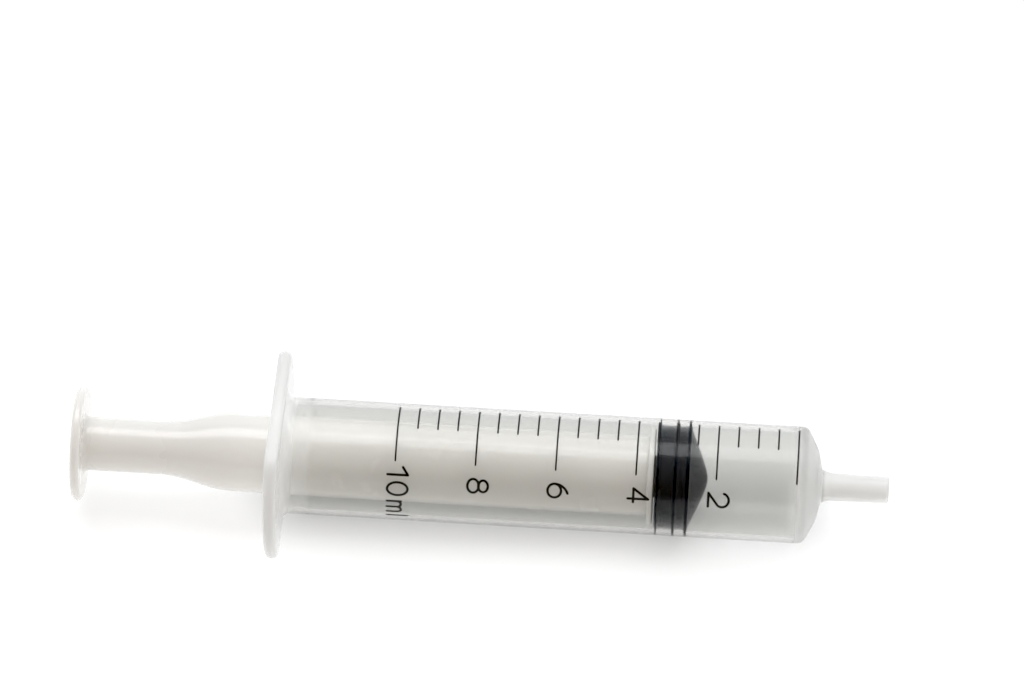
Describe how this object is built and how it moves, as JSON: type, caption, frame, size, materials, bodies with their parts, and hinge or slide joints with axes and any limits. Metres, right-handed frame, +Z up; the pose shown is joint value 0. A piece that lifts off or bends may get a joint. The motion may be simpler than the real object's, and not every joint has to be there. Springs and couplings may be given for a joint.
{
  "type": "oral syringe",
  "caption": "Oral dosing syringe: clear ribless barrel with finger flange, slip tip and printed scale, round plunger rod and black rubber stopper.",
  "frame": {"origin": "under the middle of the whole syringe's box, on the surface that its flange lies on", "axes": "+X along the barrel towards the tip, +Y along the long side of the finger flange, +Z up through the flange's upper flat"},
  "size_m": [0.1158, 0.03, 0.0194],
  "materials": {
    "barrel_polypropylene": "clear translucent polypropylene, injection moulded and smooth",
    "plunger_polypropylene": "milky white polypropylene, injection moulded, soft gloss",
    "stopper_rubber": "black compression-moulded rubber, satin",
    "scale_ink": "black pad-printed ink, matt"
  },
  "bodies": {
    "barrel": {"barrel": "barrel_polypropylene", "graduation_0ml": "scale_ink", "graduation_0_5ml": "scale_ink", "graduation_1ml": "scale_ink", "graduation_1_5ml": "scale_ink", "graduation_2ml": "scale_ink", "graduation_2_5ml": "scale_ink", "graduation_3ml": "scale_ink", "graduation_3_5ml": "scale_ink", "graduation_4ml": "scale_ink", "graduation_4_5ml": "scale_ink", "graduation_5ml": "scale_ink", "graduation_5_5ml": "scale_ink", "graduation_6ml": "scale_ink", "graduation_6_5ml": "scale_ink", "graduation_7ml": "scale_ink", "graduation_7_5ml": "scale_ink", "graduation_8ml": "scale_ink", "graduation_8_5ml": "scale_ink", "graduation_9ml": "scale_ink", "graduation_9_5ml": "scale_ink", "graduation_10ml": "scale_ink", "numeral_2": "scale_ink", "numeral_4": "scale_ink", "numeral_6": "scale_ink", "numeral_8": "scale_ink", "numeral_10_one": "scale_ink", "numeral_10_zero": "scale_ink", "unit_m": "scale_ink", "unit_l": "scale_ink"},
    "stopper": {"stopper": "stopper_rubber"},
    "plunger": {"plunger_rod": "plunger_polypropylene"}
  },
  "joints": [
    {"name": "plunger_slide", "type": "slide", "parent": "barrel", "child": "stopper", "axis": [1, 0, 0], "range_m": [-0.0494, 0.015]},
    {"name": "rod_turn", "type": "hinge", "parent": "stopper", "child": "plunger", "pos_m": [0.026, 0, 0.0097], "axis": [1, 0, 0], "continuous": true}
  ]
}
